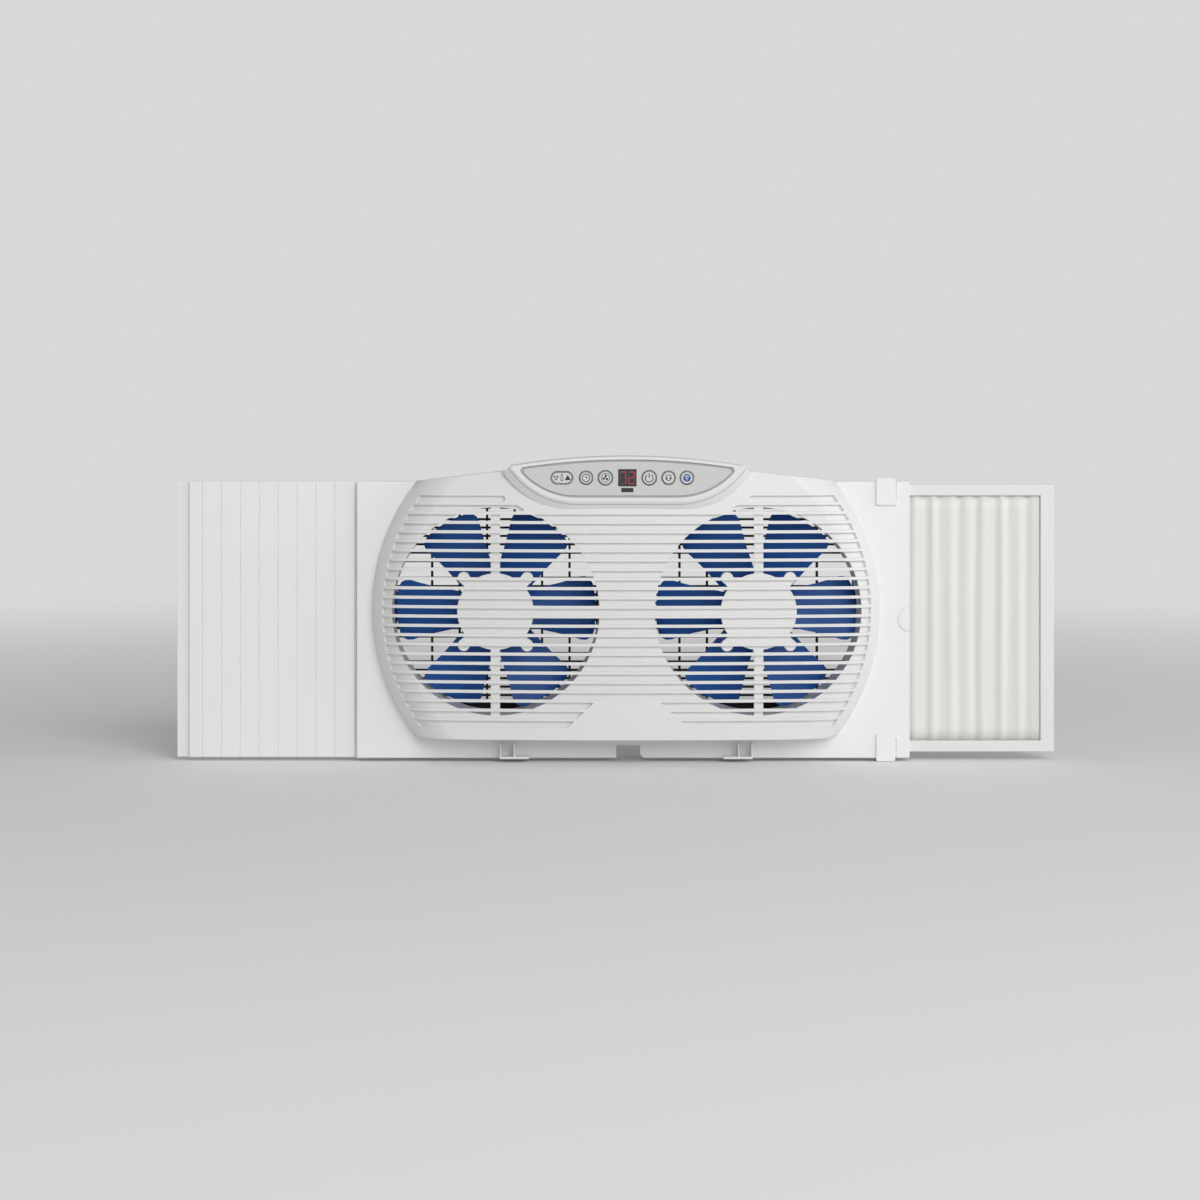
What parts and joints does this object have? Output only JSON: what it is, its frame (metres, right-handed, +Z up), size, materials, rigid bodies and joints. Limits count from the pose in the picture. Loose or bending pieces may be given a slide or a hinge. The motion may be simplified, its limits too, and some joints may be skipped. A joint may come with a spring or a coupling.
{
  "type": "window fan",
  "caption": "Twin window fan: slatted grille with a control pod above, a scored filler panel on one side and a sliding pleated extender on the other.",
  "frame": {"origin": "bottom edge of the main panel on its room side, midway between the two fan axes", "axes": "+X along the window towards the pleated extender, +Y out of the room through the window, +Z up"},
  "size_m": [0.9545, 0.11, 0.332],
  "materials": {
    "white_plastic": "fine satin moulded plastic",
    "fascia_plastic": "satin moulded plastic",
    "key_plastic": "satin moulded plastic",
    "dark_plastic": "satin moulded plastic",
    "fan_plastic": "semi-gloss moulded plastic",
    "smoked_plastic": "smoked glossy window",
    "black_plastic": "satin",
    "curtain_plastic": "soft folded sheet",
    "board": "solder mask",
    "relay_plastic": "moulded",
    "film_plastic": "moulded",
    "steel": "zinc plated",
    "iron": "stacked sheet",
    "copper": "enamelled copper wire",
    "bronze": "sintered",
    "cable": "flat ribbon",
    "grommet_rubber": "matte"
  },
  "bodies": {
    "panel": {"window_panel": "white_plastic", "rear_housing": "white_plastic", "shroud_left": "white_plastic", "shroud_right": "white_plastic", "front_grille": "white_plastic", "rear_grille": "dark_plastic", "control_fascia": "fascia_plastic", "display_lens": "smoked_plastic", "receiver_window": "smoked_plastic", "display_module": "black_plastic", "receiver_eye": "black_plastic", "control_board": "board", "key_switches": "black_plastic", "room_thermistor": "black_plastic", "power_board": "board", "power_transformer": "iron", "power_relays": "relay_plastic", "motor_capacitors": "film_plastic", "board_screws": "steel", "housing_screws": "steel", "rear_grille_screws": "steel", "motor_screws": "steel", "motor_can_left": "steel", "motor_can_right": "steel", "motor_cap_left": "steel", "motor_cap_right": "steel", "stator_left": "iron", "stator_right": "iron", "windings_left": "copper", "windings_right": "copper", "bearings_left": "bronze", "bearings_right": "bronze", "motor_lead_left": "cable", "motor_lead_right": "cable", "board_cable": "cable", "cord_grommet": "grommet_rubber", "foot_sockets": "white_plastic", "extender_curtain": "curtain_plastic"},
    "left_rotor": {"fan_left": "fan_plastic", "fan_nut_left": "steel", "rotor_left": "iron", "shaft_left": "steel"},
    "right_rotor": {"fan_right": "fan_plastic", "fan_nut_right": "steel", "rotor_right": "iron", "shaft_right": "steel"},
    "extender": {"extender_frame": "white_plastic"},
    "filler": {"filler_panel": "white_plastic"},
    "upper_lock": {"lock_tab_upper": "white_plastic"},
    "lower_lock": {"lock_tab_lower": "white_plastic"},
    "temperature_button": {"temperature_rocker": "key_plastic"},
    "timer_button": {"timer_key": "key_plastic"},
    "speed_button": {"speed_key": "key_plastic"},
    "power_button": {"power_key": "key_plastic"},
    "airflow_button": {"airflow_key": "key_plastic"},
    "wireless_button": {"wireless_key": "key_plastic"}
  },
  "joints": [
    {"name": "left_fan_spin", "type": "hinge", "parent": "panel", "child": "left_rotor", "pos_m": [-0.141, 0, 0.1615], "axis": [0, 1, 0], "continuous": true},
    {"name": "right_fan_spin", "type": "hinge", "parent": "panel", "child": "right_rotor", "pos_m": [0.141, 0, 0.1615], "axis": [0, 1, 0], "continuous": true},
    {"name": "extender_slide", "type": "slide", "parent": "panel", "child": "extender", "axis": [1, 0, 0], "range_m": [-0.085, 0], "deforming": ["extender_curtain"]},
    {"name": "filler_slide", "type": "slide", "parent": "panel", "child": "filler", "axis": [-1, 0, 0], "range_m": [0, 0.018]},
    {"name": "upper_lock_slide", "type": "slide", "parent": "panel", "child": "upper_lock", "axis": [0, 0, -1], "range_m": [0, 0.0037]},
    {"name": "lower_lock_slide", "type": "slide", "parent": "panel", "child": "lower_lock", "axis": [0, 0, 1], "range_m": [0, 0.0037]},
    {"name": "timer_press", "type": "slide", "parent": "panel", "child": "timer_button", "axis": [0, 1, 0], "range_m": [0, 0.0004], "stiffness_N_per_m": 1500},
    {"name": "speed_press", "type": "slide", "parent": "panel", "child": "speed_button", "axis": [0, 1, 0], "range_m": [0, 0.0004], "stiffness_N_per_m": 1500},
    {"name": "power_press", "type": "slide", "parent": "panel", "child": "power_button", "axis": [0, 1, 0], "range_m": [0, 0.0004], "stiffness_N_per_m": 1500},
    {"name": "airflow_press", "type": "slide", "parent": "panel", "child": "airflow_button", "axis": [0, 1, 0], "range_m": [0, 0.0004], "stiffness_N_per_m": 1500},
    {"name": "wireless_press", "type": "slide", "parent": "panel", "child": "wireless_button", "axis": [0, 1, 0], "range_m": [0, 0.0004], "stiffness_N_per_m": 1500},
    {"name": "temperature_rock", "type": "hinge", "parent": "panel", "child": "temperature_button", "pos_m": [-0.0698, -0.0482, 0.305], "axis": [0, 0, 1], "range_deg": [-2.2, 2.2], "stiffness_Nm_per_rad": 0.15}
  ]
}
